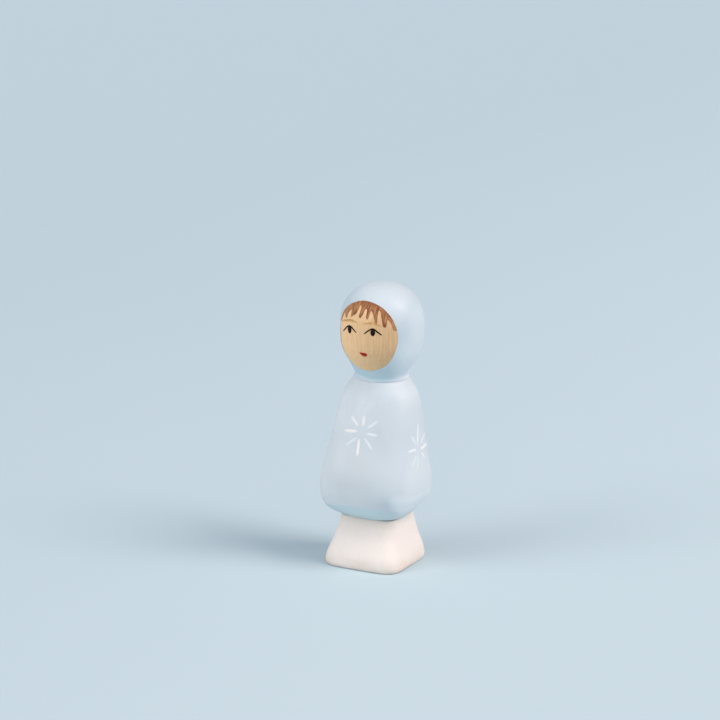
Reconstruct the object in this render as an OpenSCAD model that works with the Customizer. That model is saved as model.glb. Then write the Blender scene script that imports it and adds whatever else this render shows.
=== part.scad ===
// Peg doll: a carved and painted child in a hooded coat, standing on a flared base.
// Millimetres. Z is up, the figure looks along -Y and its own left side is at +X.
// Three blocks of wood are pinned together with dowels at the neck and at the hem.

/* [Base] */
// Height of the base, from the floor to the hem joint
base_h = 14.2; // [13:0.1:20]
// Half width of the face that the doll stands on
foot_half_w = 11.5; // [10.5:0.1:14]
// Reach of that face to the front
foot_front = 12.2; // [11:0.1:14]
// Reach of that face to the back
foot_back = 10.6; // [10:0.1:14]
// Height of the widest line above the floor
flare_h = 1.4; // [0.6:0.1:3]
// How far the widest line stands out past the foot
flare_out = 0.3; // [0.2:0.1:1.5]
// Height of the middle of the flank
flank_h = 8.4; // [6:0.1:10]
// Half width in the middle of the flank
flank_half_w = 9.9; // [9.2:0.1:11]
// Reach of the flank to the front
flank_front = 9.9; // [8.8:0.1:11.4]
// Reach of the flank to the back
flank_back = 9.2; // [8.5:0.1:10]
// Half width at the top, under the hem
waist_half_w = 8.5; // [7:0.1:9]
// Reach at the top to the front and to the back
waist_reach = 8; // [7:0.1:8.4]
// Squareness of the base's outline, where 2 is an ellipse
base_square = 5.8; // [3:0.1:7]

/* [Coat] */
// Height of the coat, from the hem joint to the neck joint
coat_h = 39.2; // [36:0.1:48]
// How far the hem's inner edge stands out past the base
hem_over = 0.5; // [0.2:0.1:1.5]
// How far the turned-in hem is carved over to the figure's right
hem_shift = 1.3; // [0:0.1:1.6]
// How full the turned-in hem is a quarter of the way up to the belly
hem_fullness = 0.58; // [0.4:0.02:0.75]
// Height of the widest line above the hem joint
belly_h = 8; // [6:0.1:12]
// Half width at the widest line
belly_half_w = 15.3; // [13.5:0.1:18]
// Reach of the belly to the front
belly_front = 13.3; // [11:0.1:16]
// Reach of the belly to the back
belly_back = 11.2; // [10.6:0.1:14]
// Height of the chest above the hem joint
chest_h = 22.8; // [18:0.1:28]
// Half width at the chest
chest_half_w = 12.8; // [11.2:0.1:13.4]
// Reach of the chest to the front
chest_front = 9.4; // [7.6:0.1:10.8]
// Reach of the chest to the back
chest_back = 10.4; // [9.8:0.1:11]
// Distance of the shoulder line below the neck joint
shoulder_drop = 5.4; // [3.5:0.1:8]
// Half width at the shoulder line
shoulder_half_w = 10.8; // [9:0.1:12.4]
// Reach of the shoulder line to the front
shoulder_front = 7.2; // [6.6:0.1:8.8]
// Reach of the shoulder line to the back
shoulder_back = 9.6; // [9.4:0.1:10.2]
// Squareness of the coat at the belly, where 2 is an ellipse
coat_square = 3; // [2.2:0.1:4.5]
// Squareness of the coat at the shoulder line
shoulder_square = 2.7; // [2:0.1:3.5]

/* [Head] */
// Height of the bare wooden head, from the neck joint to the crown
head_h = 26.35; // [25.5:0.05:32]
// Distance of the head's axis behind the middle of the base
head_back = 1.45; // [0.5:0.05:1.8]
// Radius of the bare head at its widest
head_r = 11.6; // [11.2:0.1:14]
// Height of the widest line above the neck joint
head_wide_h = 15.2; // [13:0.1:16.5]
// Roundness of the crown, where 2 is an ellipse
crown_round = 2.2; // [1.8:0.05:3]
// Fullness of the cheeks between the neck and the widest line
cheek_full = 4.2; // [3:0.1:5]
// Radius of the neck at its narrowest
neck_r = 7.35; // [6:0.05:7.6]
// Height of the narrowest line above the neck joint
neck_h = 1.2; // [1:0.1:3]
// How far the foot of the neck flares out
neck_flare = 0.35; // [0.1:0.05:0.8]
// How far the coat's collar lies inside the foot of the neck
collar_inset = 0.1; // [0.1:0.05:0.6]

/* [Hood and face] */
// Thickness of the hood's ground and paint
hood_t = 0.25; // [0.15:0.05:0.5]
// How far the face looks to the figure's right, in degrees
face_turn = 5; // [0:1:10]
// Distance of the face opening's top below the crown of the head
brim = 3.05; // [2.6:0.05:3.6]
// Height of the face opening's lowest point above the neck joint
chin_h = 3.1; // [2.6:0.1:4]
// Half width of the face opening
face_half_w = 9.1; // [8.6:0.1:9.6]
// Thickness of a painted mark
paint_t = 0.15; // [0.08:0.01:0.3]
// Distance of each eye from the middle of the face
eye_off = 3.65; // [3.4:0.05:4.2]
// Distance of the ends of the lids below the top of the opening
eye_drop = 8.75; // [8.4:0.05:9.5]
// Half width of a lid
lid_half_w = 2.6; // [2:0.05:2.8]
// Rise of a lid from its ends to its arch
lid_rise = 1.9; // [1.4:0.05:2.2]
// Stroke of a lid in the middle
lid_stroke = 0.4; // [0.25:0.05:0.8]
// Half width of a pupil
pupil_half_w = 0.65; // [0.5:0.05:0.9]
// Half height of a pupil
pupil_half_h = 0.95; // [0.7:0.05:1.1]
// Height of a pupil's middle above the ends of the lid
pupil_up = 0.6; // [0.4:0.05:0.8]
// Distance of a brow's inner end from the middle of the face
brow_in = 1.25; // [1:0.05:2]
// Distance of a brow's outer end from the middle of the face
brow_out = 6.1; // [5:0.05:6.4]
// Distance of a brow's inner end below the top of the opening
brow_drop = 5.55; // [5.3:0.05:6]
// Fall of a brow from its inner to its outer end
brow_fall = 0.5; // [0:0.05:0.6]
// Stroke of a brow
brow_stroke = 0.4; // [0.2:0.05:0.5]
// Height of the mouth above the opening's lowest point
mouth_rise = 5.4; // [4.4:0.05:7]
// Sideways place of the mouth
mouth_off = -0.1; // [-0.5:0.05:0.6]
// Half width of the mouth
mouth_half_w = 1.2; // [0.8:0.05:2]
// Bulge of the upper lip
upper_lip = 0.2; // [0.1:0.05:0.6]
// Bulge of the lower lip
lower_lip = 0.75; // [0.3:0.05:1]
// Number of locks in the fringe
locks = 8; // [6:1:10]
// How far the fringe's last locks stop short of the opening's widest line
fringe_side = 0.7; // [0.6:0.05:1.2]
// Band of hair above the gaps between the locks, in the middle
fringe_band = 1.2; // [0.8:0.05:1.8]
// Length of a lock below that band
lock_len = 2.9; // [2:0.05:3.2]

/* [Snowflakes] */
// Height of the front snowflake above the hem joint
front_star_h = 25.1; // [22:0.1:27]
// Height of the side snowflakes above the hem joint
side_star_h = 20.6; // [19:0.1:25]
// Distance of the side snowflakes in front of the middle of the base
side_star_front = 0.5; // [0:0.1:2]
// Free middle of a snowflake
star_eye = 2; // [1.2:0.1:2.6]
// Half stroke of an upright ray
ray_half_w = 0.42; // [0.25:0.01:0.6]
// Half stroke of a slanted ray
slant_half_w = 0.3; // [0.2:0.01:0.5]
// Reach of the front rays that point up, right, down and left
front_upright = [4.7, 4.8, 6.4, 5.7]; // [4:0.1:6.6]
// Reach of the front rays that slant up right, down right, down left and up left
front_slant = [6, 5.5, 6, 5.2]; // [4:0.1:6.6]
// Reach of the side rays that point up, right, down and left
side_upright = [6.8, 6.4, 6.2, 4.3]; // [4:0.1:7]
// Reach of the side rays that slant up right, down right, down left and up left
side_slant = [5.4, 4.2, 5.8, 5.2]; // [4:0.1:7]
// Sideways lean of the side snowflakes for each millimetre of height
side_lean = 0.24; // [0:0.02:0.3]

/* [Dowels] */
// Diameter of a dowel
dowel_d = 6; // [4:0.5:8]
// Length of a dowel
dowel_l = 18; // [12:0.5:20]
// Chamfer on a dowel's ends
dowel_chamfer = 0.6; // [0.3:0.1:1]
// Radius of a glue flute along a dowel
flute_r = 0.3; // [0.2:0.05:0.4]
// Radial room between a dowel and its bore
dowel_fit = 0.05; // [0.02:0.01:0.15]
// Room for glue at the end of a bore
glue_room = 0.5; // [0.2:0.1:1]

/* [Hidden] */

hem_z = base_h;
neck_z = base_h + coat_h;
bore_r = dowel_d / 2 + dowel_fit;
bore_depth = dowel_l / 2 + glue_room;
neck_foot_r = neck_r + neck_flare;
collar_r = neck_foot_r - collar_inset;
face_top = head_h - brim;
face_h = (face_top + chin_h) / 2;
face_half_h = (face_top - chin_h) / 2;
eye_h = face_top - eye_drop;
brow_h = face_top - brow_drop;
mouth_h = chin_h + mouth_rise;
fringe_half_w = face_half_w - fringe_side;
ring_points = 48;
corners = 4;
corner_bunch = 6;
coat_rings = 36;
base_rings = 16;
profile_steps = 14;
foot_steps = 4;
lid_steps = 4;
pupil_step = 22.5;
brow_steps = 6;
mouth_steps = 8;
lock_steps = 4;
oval_points = 72;
flutes = 8;
turned_sides = 96;
round_sides = 48;
flute_sides = 16;
eye_rows = 3;
fringe_rows = 5;
mouth_rows = 2;
overrun = 1;
flute_turn = 360 / flutes;
sharp_end = 0.04;
lid_arch = 1.25;
lid_taper = 0.7;
mouth_lean = 0.5;
lock_bend = 0.75;
hem_turn_at = 0.25;
jaw_bend = 1.5;
ray_stations = 7;
ray_end = 0.45;

// Sections of the two carved blocks: height, half width, reach to the front, reach to the back, squareness
// and shift to the figure's left
base_sections = [
    [0, foot_half_w, foot_front, foot_back, base_square, 0],
    [flare_h, foot_half_w + flare_out, foot_front + flare_out, foot_back + flare_out, base_square, 0],
    [flank_h, flank_half_w, flank_front, flank_back, base_square, 0],
    [base_h, waist_half_w, waist_reach, waist_reach, base_square, 0]];
hem_section = [0, waist_half_w + hem_over, waist_reach + hem_over, waist_reach + hem_over, coat_square, 0];
belly_section = [belly_h, belly_half_w, belly_front, belly_back, coat_square, 0];
hem_turn = mix(hem_section, belly_section, hem_fullness);
coat_sections = [
    hem_section,
    [hem_turn_at * belly_h, hem_turn[1], hem_turn[2], hem_turn[3], coat_square, -hem_shift],
    belly_section,
    [chest_h, chest_half_w, chest_front, chest_back, coat_square, 0],
    [coat_h - shoulder_drop, shoulder_half_w, shoulder_front, shoulder_back, shoulder_square, 0],
    [coat_h, collar_r, collar_r - head_back, collar_r + head_back, 2, 0]];

function mix(a, b, t) = a + (b - a) * t;

// Smooth curve through one column of a list of sections, with no overshoot between them
function secant(rows, i, c) = (rows[i + 1][c] - rows[i][c]) / (rows[i + 1][0] - rows[i][0]);
function inner_slope(rows, i, c) =
    let (a = secant(rows, i - 1, c), b = secant(rows, i, c))
    a * b <= 0 ? 0 : 2 * a * b / (a + b);
function slope(rows, i, c) =
    let (last = len(rows) - 1)
    i == 0 ? 1.5 * secant(rows, 0, c) - inner_slope(rows, 1, c) / 2 :
    i == last ? 1.5 * secant(rows, last - 1, c) - inner_slope(rows, last - 1, c) / 2 :
    inner_slope(rows, i, c);
function span_at(rows, h, i = 0) = i >= len(rows) - 2 || h < rows[i + 1][0] ? i : span_at(rows, h, i + 1);
function value_at(rows, h, c) =
    let (i = span_at(rows, h), d = rows[i + 1][0] - rows[i][0], t = (h - rows[i][0]) / d)
    (2 * t ^ 3 - 3 * t ^ 2 + 1) * rows[i][c] + (t ^ 3 - 2 * t ^ 2 + t) * d * slope(rows, i, c)
    + (3 * t ^ 2 - 2 * t ^ 3) * rows[i + 1][c] + (t ^ 3 - t ^ 2) * d * slope(rows, i + 1, c);

// One section as half width, half depth, middle from front to back, squareness and shift
function section_at(rows, h) =
    let (front = value_at(rows, h, 2), back = value_at(rows, h, 3))
    [value_at(rows, h, 1), (front + back) / 2, (back - front) / 2, value_at(rows, h, 4), value_at(rows, h, 5)];

function ring(rows, h) =
    let (s = section_at(rows, h))
    [for (i = [0:ring_points - 1])
        let (even = 360 * i / ring_points, t = even + corner_bunch * sin(corners * even), n = s[3])
        let (r = (abs(cos(t) / s[0]) ^ n + abs(sin(t) / s[1]) ^ n) ^ (-1 / n))
        [s[4] + r * cos(t), s[2] + r * sin(t), h]];

// Carved block: rings of a rounded square, closer together where the hem and the foot turn in,
// with their points closer together at the corners
module carved_block(rows, rings) {
    top = rows[len(rows) - 1][0];
    last = rings * ring_points;
    heights = [for (k = [0:rings]) top * (1 - cos(180 * k / rings)) / 2];
    points = [for (h = heights) each ring(rows, h)];
    sides = [for (k = [0:rings - 1], i = [0:ring_points - 1])
        let (a = k * ring_points + i, b = k * ring_points + (i + 1) % ring_points)
        each [[a, a + ring_points, b], [b, a + ring_points, b + ring_points]]];
    floor = [for (i = [0:ring_points - 1]) i];
    lid = [for (i = [ring_points - 1:-1:0]) last + i];
    polyhedron(points, concat(sides, [floor, lid]));
}

// Outline of the turned head, with a layer of the given thickness on it
function head_radius(up, grow = 0) =
    up < neck_h ? neck_r + grow + neck_flare * ((neck_h - up) / neck_h) ^ 2 :
    let (crown = head_h + grow - head_wide_h, t = (up - neck_h) / (head_wide_h - neck_h))
    up < head_wide_h ? neck_r + grow + (head_r - neck_r) * (1 - (1 - t ^ jaw_bend) ^ cheek_full) :
    (head_r + grow) * max(0, 1 - ((up - head_wide_h) / crown) ^ crown_round) ^ (1 / crown_round);

function head_outline(grow) = concat(
    [for (k = [0:foot_steps]) let (up = neck_h * k / foot_steps) [head_radius(up, grow), up]],
    [for (k = [1:profile_steps])
        let (up = mix(neck_h, head_wide_h, k / profile_steps)) [head_radius(up, grow), up]],
    [for (k = [1:profile_steps - 1])
        let (t = 90 * k / profile_steps)
        [(head_r + grow) * cos(t) ^ (2 / crown_round),
            head_wide_h + (head_h + grow - head_wide_h) * sin(t) ^ (2 / crown_round)]],
    [[0, head_h + grow]]);

module turned_head(grow, below = 0) {
    translate([0, head_back, neck_z])
        rotate_extrude($fn = turned_sides)
            polygon(concat([[0, -below], [neck_foot_r + grow, -below]], head_outline(grow)));
}

module bore(y, z) {
    translate([0, y, z]) cylinder(r = bore_r, h = bore_depth, $fn = round_sides);
}

module dowel(y, z) {
    r = dowel_d / 2;
    translate([0, y, z - dowel_l / 2]) difference() {
        rotate_extrude($fn = round_sides)
            polygon([[0, 0], [r - dowel_chamfer, 0], [r, dowel_chamfer], [r, dowel_l - dowel_chamfer],
                [r - dowel_chamfer, dowel_l], [0, dowel_l]]);
        for (k = [0:flutes - 1])
            rotate(k * flute_turn) translate([r, 0, -overrun])
                cylinder(r = flute_r, h = dowel_l + 2 * overrun, $fn = flute_sides);
    }
}

// Places on the surfaces that carry paint: across to the viewer's right, up, and out by a layer
on_face = function (across, up, out)
    let (deep = sqrt(head_radius(up, out) ^ 2 - across ^ 2))
    [across * cos(face_turn) - deep * sin(face_turn),
        head_back - across * sin(face_turn) - deep * cos(face_turn), neck_z + up];
on_front = function (across, up, out)
    let (s = section_at(coat_sections, up))
    let (bow = (1 - abs((across - s[4]) / (s[0] + out)) ^ s[3]) ^ (1 / s[3]))
    [across, s[2] - (s[1] + out) * bow, hem_z + up];
on_back = function (across, up, out)
    let (s = section_at(coat_sections, up))
    let (bow = (1 - abs((across + s[4]) / (s[0] + out)) ^ s[3]) ^ (1 / s[3]))
    [-across, s[2] + (s[1] + out) * bow, hem_z + up];
on_left = function (across, up, out)
    let (s = section_at(coat_sections, up))
    let (bow = (1 - abs((across - s[2]) / (s[1] + out)) ^ s[3]) ^ (1 / s[3]))
    [s[4] + (s[0] + out) * bow, across, hem_z + up];
on_right = function (across, up, out)
    let (s = section_at(coat_sections, up))
    let (bow = (1 - abs((across + s[2]) / (s[1] + out)) ^ s[3]) ^ (1 / s[3]))
    [s[4] - (s[0] + out) * bow, -across, hem_z + up];

// Painted mark between an upper and a lower edge, laid on a surface in a few rows
module painted(upper, lower, rows, place) {
    last = len(upper) - 1;
    side = rows + 1;
    layer = (last + 1) * side;
    points = [for (out = [0, paint_t], i = [0:last], j = [0:rows])
        let (p = mix(upper[i], lower[i], j / rows)) place(p[0], p[1], out)];
    sheet = [for (i = [0:last - 1], j = [0:rows - 1]) let (a = i * side + j, b = a + side)
        each [[a, b, a + 1], [a + 1, b, b + 1]]];
    outside = [for (f = sheet) [f[0] + layer, f[1] + layer, f[2] + layer]];
    inside = [for (f = sheet) [f[0], f[2], f[1]]];
    rim = concat([for (i = [0:last]) i * side], [for (j = [1:rows]) last * side + j],
        [for (i = [last - 1:-1:0]) i * side + rows], [for (j = [rows - 1:-1:1]) j]);
    walls = [for (k = [0:len(rim) - 1]) let (a = rim[k], b = rim[(k + 1) % len(rim)])
        each [[a, b, a + layer], [b, b + layer, a + layer]]];
    polyhedron(points, concat(outside, inside, walls));
}

// Eye: an arched lid drawn as one stroke with the pupil hanging from it
function lid_top(u) = eye_h + lid_rise * (1 - abs(u / lid_half_w) ^ lid_arch) + sharp_end;
function lid_low(u) = lid_top(u) - lid_stroke * (1 - lid_taper * abs(u / lid_half_w)) - sharp_end;

module eye(middle) {
    wings = [for (k = [0:lid_steps]) mix(lid_half_w, pupil_half_w + sharp_end, k / lid_steps)];
    left = [for (u = wings) [-u, lid_low(u)]];
    pupil = [for (t = [0:pupil_step:180])
        [-pupil_half_w * cos(t), eye_h + pupil_up - pupil_half_h * sin(t)]];
    right = [for (k = [lid_steps:-1:0]) [wings[k], lid_low(wings[k])]];
    lower = concat(left, pupil, right);
    upper = [for (p = lower) [p[0], lid_top(p[0])]];
    painted([for (p = upper) p + [middle, 0]], [for (p = lower) p + [middle, 0]], eye_rows, on_face);
}

module brow(side) {
    stations = [for (k = [0:brow_steps]) side > 0 ? k / brow_steps : 1 - k / brow_steps];
    middle = [for (t = stations) [side * mix(brow_in, brow_out, t), brow_h - brow_fall * t ^ 2]];
    half = [for (t = stations) (brow_stroke * sin(180 * t) + sharp_end) / 2];
    upper = [for (k = [0:brow_steps]) middle[k] + [0, half[k]]];
    lower = [for (k = [0:brow_steps]) middle[k] - [0, half[k]]];
    painted(upper, lower, 1, on_face);
}

// Fringe: a band under the edge of the hood with tapering locks
function fringe_rise(u) = sqrt(1 - (u / face_half_w) ^ 2);
function opening_top(u) = face_h + face_half_h * fringe_rise(u);
function gap_h(u) = face_h + (face_half_h - fringe_band) * fringe_rise(u);
function tip_h(u) = face_h + (face_half_h - fringe_band - lock_len) * fringe_rise(u);

module fringe() {
    color("#6e4632") {
        pitch = 2 * fringe_half_w / (locks - 1);
        lower = [for (k = [0:lock_steps * (locks - 1)])
            let (u = -fringe_half_w + pitch * k / lock_steps)
            let (t = abs(2 * (k % lock_steps) / lock_steps - 1))
            [u, mix(gap_h(u), tip_h(u), t ^ lock_bend)]];
        upper = [for (p = lower) [p[0], opening_top(p[0]) - sharp_end]];
        painted(upper, lower, fringe_rows, on_face);
    }
}

module mouth() {
    color("#b0392f") {
        stations = [for (k = [0:mouth_steps]) -cos(180 * k / mouth_steps)];
        bulge = [for (t = stations) (1 - t ^ 2) * (1 + mouth_lean * t)];
        line = [for (t = stations) [mouth_off + mouth_half_w * t, mouth_h]];
        upper = [for (k = [0:mouth_steps]) line[k] + [0, upper_lip * bulge[k] + sharp_end]];
        lower = [for (k = [0:mouth_steps]) line[k] - [0, lower_lip * bulge[k]]];
        painted(upper, lower, mouth_rows, on_face);
    }
}

module left_eye() { color("#2b211f") eye(eye_off); }
module right_eye() { color("#2b211f") eye(-eye_off); }
module left_brow() { color("#9a6b45") brow(1); }
module right_brow() { color("#9a6b45") brow(-1); }

// Ray of a snowflake: a short stroke with rounded ends, pointing away from the middle
module ray(angle, reach, half_w, middle, lean, place) {
    along = [cos(angle), sin(angle)];
    across = [-sin(angle), cos(angle)];
    stations = [for (k = [0:ray_stations]) -cos(180 * k / ray_stations)];
    line = [for (t = stations) along * mix(star_eye, reach, (t + 1) / 2)];
    half = [for (t = stations) half_w * (1 - (1 - ray_end) * t ^ 4)];
    upper = [for (k = [0:ray_stations]) line[k] + across * half[k]];
    lower = [for (k = [0:ray_stations]) line[k] - across * half[k]];
    painted([for (p = upper) middle + [p[0] + lean * p[1], p[1]]],
        [for (p = lower) middle + [p[0] + lean * p[1], p[1]]], 1, place);
}

module snowflake(upright, slant, middle, lean, place) {
    color("#f4f6f8") for (k = [0:3]) {
        ray(90 - 90 * k, upright[k], ray_half_w, middle, lean, place);
        ray(45 - 90 * k, slant[k], slant_half_w, middle, lean, place);
    }
}

module front_snowflake() { snowflake(front_upright, front_slant, [0, front_star_h], 0, on_front); }
module back_snowflake() { snowflake(front_upright, front_slant, [0, front_star_h], 0, on_back); }
module left_snowflake() {
    snowflake(side_upright, side_slant, [-side_star_front, side_star_h], side_lean, on_left);
}
module right_snowflake() {
    snowflake(front_upright, front_slant, [side_star_front, side_star_h], 0, on_right);
}

module base() {
    color("#ece4dc") difference() {
        carved_block(base_sections, base_rings);
        bore(0, hem_z - bore_depth);
    }
}

module coat() {
    color("#b9cfdd") difference() {
        translate([0, 0, hem_z]) carved_block(coat_sections, coat_rings);
        bore(0, hem_z);
        bore(head_back, neck_z - bore_depth);
    }
}

module head() {
    color("#d3b28a") difference() {
        turned_head(0);
        bore(head_back, neck_z);
    }
}

// Hood: the painted layer on the head, open over the face
module hood() {
    oval = [for (k = [0:oval_points - 1])
        let (t = 360 * (k + 0.5) / oval_points) [face_half_w * cos(t), face_h + face_half_h * sin(t)]];
    color("#c3d6e3") difference() {
        turned_head(hood_t);
        turned_head(0, overrun);
        translate([0, head_back, neck_z]) rotate(-face_turn) rotate([90, 0, 0])
            linear_extrude(head_r + overrun) polygon(oval);
    }
}

module hem_dowel() { color("#c9a77c") dowel(0, hem_z); }
module neck_dowel() { color("#c9a77c") dowel(head_back, neck_z); }

base();
coat();
head();
hood();
hem_dowel();
neck_dowel();
fringe();
left_eye();
right_eye();
left_brow();
right_brow();
mouth();
front_snowflake();
left_snowflake();
right_snowflake();
back_snowflake();
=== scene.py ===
"""Peg doll in a hooded coat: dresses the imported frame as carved, turned and hand-painted limewood."""

import math

import bmesh
import bpy
from bpy.props import FloatProperty, FloatVectorProperty, PointerProperty
from mathutils import Matrix, Vector


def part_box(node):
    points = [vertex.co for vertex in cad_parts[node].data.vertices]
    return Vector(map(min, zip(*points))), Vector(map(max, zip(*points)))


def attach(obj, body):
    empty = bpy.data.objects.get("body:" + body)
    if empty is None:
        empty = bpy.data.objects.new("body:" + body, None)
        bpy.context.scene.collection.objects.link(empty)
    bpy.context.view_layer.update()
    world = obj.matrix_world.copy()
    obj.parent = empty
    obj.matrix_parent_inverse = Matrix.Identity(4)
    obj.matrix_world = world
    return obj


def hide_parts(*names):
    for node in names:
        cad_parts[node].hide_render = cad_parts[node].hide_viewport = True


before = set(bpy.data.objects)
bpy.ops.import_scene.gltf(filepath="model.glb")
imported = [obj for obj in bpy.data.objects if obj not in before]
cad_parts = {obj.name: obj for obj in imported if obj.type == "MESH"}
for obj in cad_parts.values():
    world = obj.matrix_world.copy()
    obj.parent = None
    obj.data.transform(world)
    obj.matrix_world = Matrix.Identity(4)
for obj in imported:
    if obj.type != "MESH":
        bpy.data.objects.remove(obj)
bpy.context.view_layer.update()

bl_info = {
    "name": "Peg doll in a hooded coat",
    "version": (1, 0, 0),
    "blender": (4, 5, 0),
    "location": "View3D > Sidebar > Peg doll",
    "description": "Builds the carved, turned and painted pieces of a small wooden figure",
    "category": "Object",
}

# Measures that several pieces share
MM = 0.001
NECK_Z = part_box("coat")[1].z
HEM_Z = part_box("coat")[0].z
HEAD_Y = (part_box("head")[0].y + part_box("head")[1].y) / 2
SAME_PLACE = 0.005 * MM
SMOOTH_ANGLE = math.radians(40)

# The four sides of the figure, as turns about the upright axis from the front
FRONT, LEFT, BACK, RIGHT = 0, 90, 180, -90

# Blocks: rings narrower than a bore are left out below the crown, and the base's foot has its edge broken
BORE_LIMIT = 5 * MM
CROWN = 3 * MM
BROKEN_EDGE = (0.3 * MM, 0.2 * MM, 0.05 * MM)
FLANK_REACH = 2 * MM
CORNER_SEGMENTS = 12
TURNED_SIDES = 64
BORE_SIDES = 48
OVERCUT = 1 * MM

# Painted marks: how they are laid out; the pupils' insets are shares of their half width
UPRIGHT = (math.radians(90), 0, 0)
DRAWN_AWAY = 40 * MM
GUIDE_PASSES = 4
STROKE_ROWS = 3
FRINGE_ROWS = 6
RAY_STEPS = 8
PUPIL_SIDES = 24
PUPIL_INSETS = (0.2, 0.3)

# Share of a mark's thickness or width that is left at its edge or ends
MARK_EDGE = 0.4
LID_ENDS = 0.65
BROW_ENDS = 0.3

# Share of a ray's width and load that is lost at its ends, and of a pupil's width at its foot
RAY_TAPER = 0.35
RAY_FADE = 0.4
DROP_POINT = 0.15

# Hood: how its paint thins out towards the face and the neck's foot, and how the opening leaves an oval
HOOD_EDGE = 0.1
RIM_REACH = 0.25
FOOT_REACH = 3 * MM
STENCIL_SIDES = 96
FULL_TURN = math.radians(40)
FULLER = 0.02
LONGER = 0.012

# Where the hand-painted edge of the opening leaves its oval: turn and spread in degrees, share of the size
OPENING_WAVES = [(203, 22, 0.13), (142, 22, 0.042), (78, 18, -0.014), (36, 18, 0.012), (-50, 24, 0.02)]

# Lower edge of the fringe from the figure's right to its left: millimetres across and above the neck joint
FRINGE_EDGE = [
    (-8.6, 16.2), (-7.8, 17.2), (-7.2, 18.4), (-6.8, 19.0), (-6.4, 18.5), (-6.1, 17.9), (-5.4, 18.0),
    (-5.3, 18.8), (-5.0, 19.5), (-4.1, 20.4), (-3.2, 20.1), (-3.9, 18.6), (-3.4, 18.8), (-2.3, 19.6),
    (-1.8, 20.4), (-1.6, 21.2), (-1.4, 22.1), (-0.8, 21.5), (-0.6, 21.0), (-0.9, 19.6), (-0.8, 18.9),
    (-0.4, 18.9), (0.2, 19.9), (0.35, 20.8), (0.65, 21.4), (1.1, 21.1), (1.25, 20.0), (1.4, 19.0),
    (1.8, 18.8), (2.0, 19.7), (2.15, 20.7), (2.35, 21.1), (2.8, 20.6), (3.4, 19.6), (3.85, 18.4),
    (4.05, 17.8), (4.4, 17.7), (4.3, 19.1), (4.15, 20.6), (4.25, 21.4), (4.8, 20.9), (5.3, 19.7),
    (5.7, 18.5), (6.0, 17.3), (6.35, 16.9), (6.75, 17.1), (6.6, 18.4), (6.6, 19.2), (7.1, 18.8),
    (7.8, 17.9), (8.15, 16.7), (8.4, 16.0), (8.75, 15.9), (8.9, 15.9),
]

# Points of that edge that lie between two locks, and its two ends
FRINGE_GAPS = [0, 3, 9, 16, 24, 31, 39, 47, 53]

# Strokes of the lids and the brows, and both edges of the mouth, in the same way
RIGHT_LID = [(-6.8, 13.9), (-5.65, 15.0), (-4.75, 15.7), (-4.0, 16.0), (-3.25, 15.8), (-2.45, 15.3),
             (-1.65, 14.7)]
LEFT_LID = [(1.25, 14.8), (2.15, 15.6), (2.95, 16.1), (3.65, 16.3), (4.3, 15.9), (4.95, 15.4), (5.7, 14.8)]
RIGHT_BROW = [(-7.8, 16.4), (-6.3, 16.95), (-4.05, 17.6), (-2.5, 17.7), (-1.4, 17.5)]
LEFT_BROW = [(0.9, 17.55), (2.05, 17.75), (3.45, 17.95), (4.5, 17.7), (5.65, 17.25)]
MOUTH_TOP = [(-0.5, 9.0), (0.0, 9.12), (0.5, 9.12), (0.95, 9.15), (1.35, 9.12), (1.7, 8.95)]
MOUTH_LOW = [(-0.5, 8.72), (-0.05, 8.38), (0.35, 8.14), (0.8, 8.0), (1.25, 8.05), (1.7, 8.4)]

# Pupils: middle across the face and above the neck joint, half width and half height in millimetres
RIGHT_PUPIL = (-4.0, 14.95, 0.76, 1.1)
LEFT_PUPIL = (3.55, 15.2, 0.66, 0.92)

# Rays clockwise from the top: inner and outer end in millimetres across and above the hem joint, load of
# paint and warmth of its white
FRONT_RAYS = [((-0.75, 26.7), (-0.7, 29.6), 0.9, 0.8), ((0.75, 26.3), (3.5, 28.6), 0.5, 0),
              ((0.6, 24.8), (3.8, 24.7), 0.55, 0), ((0.0, 23.6), (2.65, 20.85), 0.42, 0.2),
              ((-1.5, 23.1), (-1.4, 18.7), 0.8, 0.8), ((-2.3, 23.3), (-5.3, 20.9), 0.4, 0.1),
              ((-2.4, 25.05), (-6.3, 24.7), 0.9, 1), ((-2.25, 26.6), (-4.6, 28.8), 0.85, 0.6)]
SIDE_RAYS = [((-1.6, 21.5), (0.4, 26.9), 0.65, 0), ((0.3, 21.6), (4.1, 23.4), 0.4, 0),
             ((-0.25, 20.0), (4.2, 20.35), 0.8, 0.2), ((-0.05, 18.9), (1.35, 17.35), 0.6, 0),
             ((-2.15, 19.4), (-3.8, 14.8), 0.3, 0), ((-3.3, 18.85), (-5.8, 16.3), 0.25, 0),
             ((-2.7, 20.6), (-5.7, 20.5), 0.55, 0.2), ((-2.55, 22.0), (-3.65, 24.55), 0.4, 0)]

# Painted shade and light on the coat and hood, how the hair's stain varies, and the paper's painted shade
SHOULDER_Z = NECK_Z - 3.5 * MM
HEM_TOP = 18.75 * MM
HEM_MIDDLE = 1.5 * MM
HEM_BOW = 9.5
HEM_WANDER = 0.8 * MM
HEM_END = (8.2 * MM, 12 * MM)
JAW_Z = NECK_Z + 6 * MM
CHIN_SHADE_DROP = 2.5 * MM
CHIN_SHADE_HALF_W = 10.5 * MM
CHIN_SHADE_HALF_H = 13.4 * MM
CREASE_LEAN = (0.23, 0.01, 1)
HEAVY_LOCK = 0.84
STRANDS = 43
PAPER_TURN = 1.5
PAPER_WANDER = 120 * MM

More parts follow.
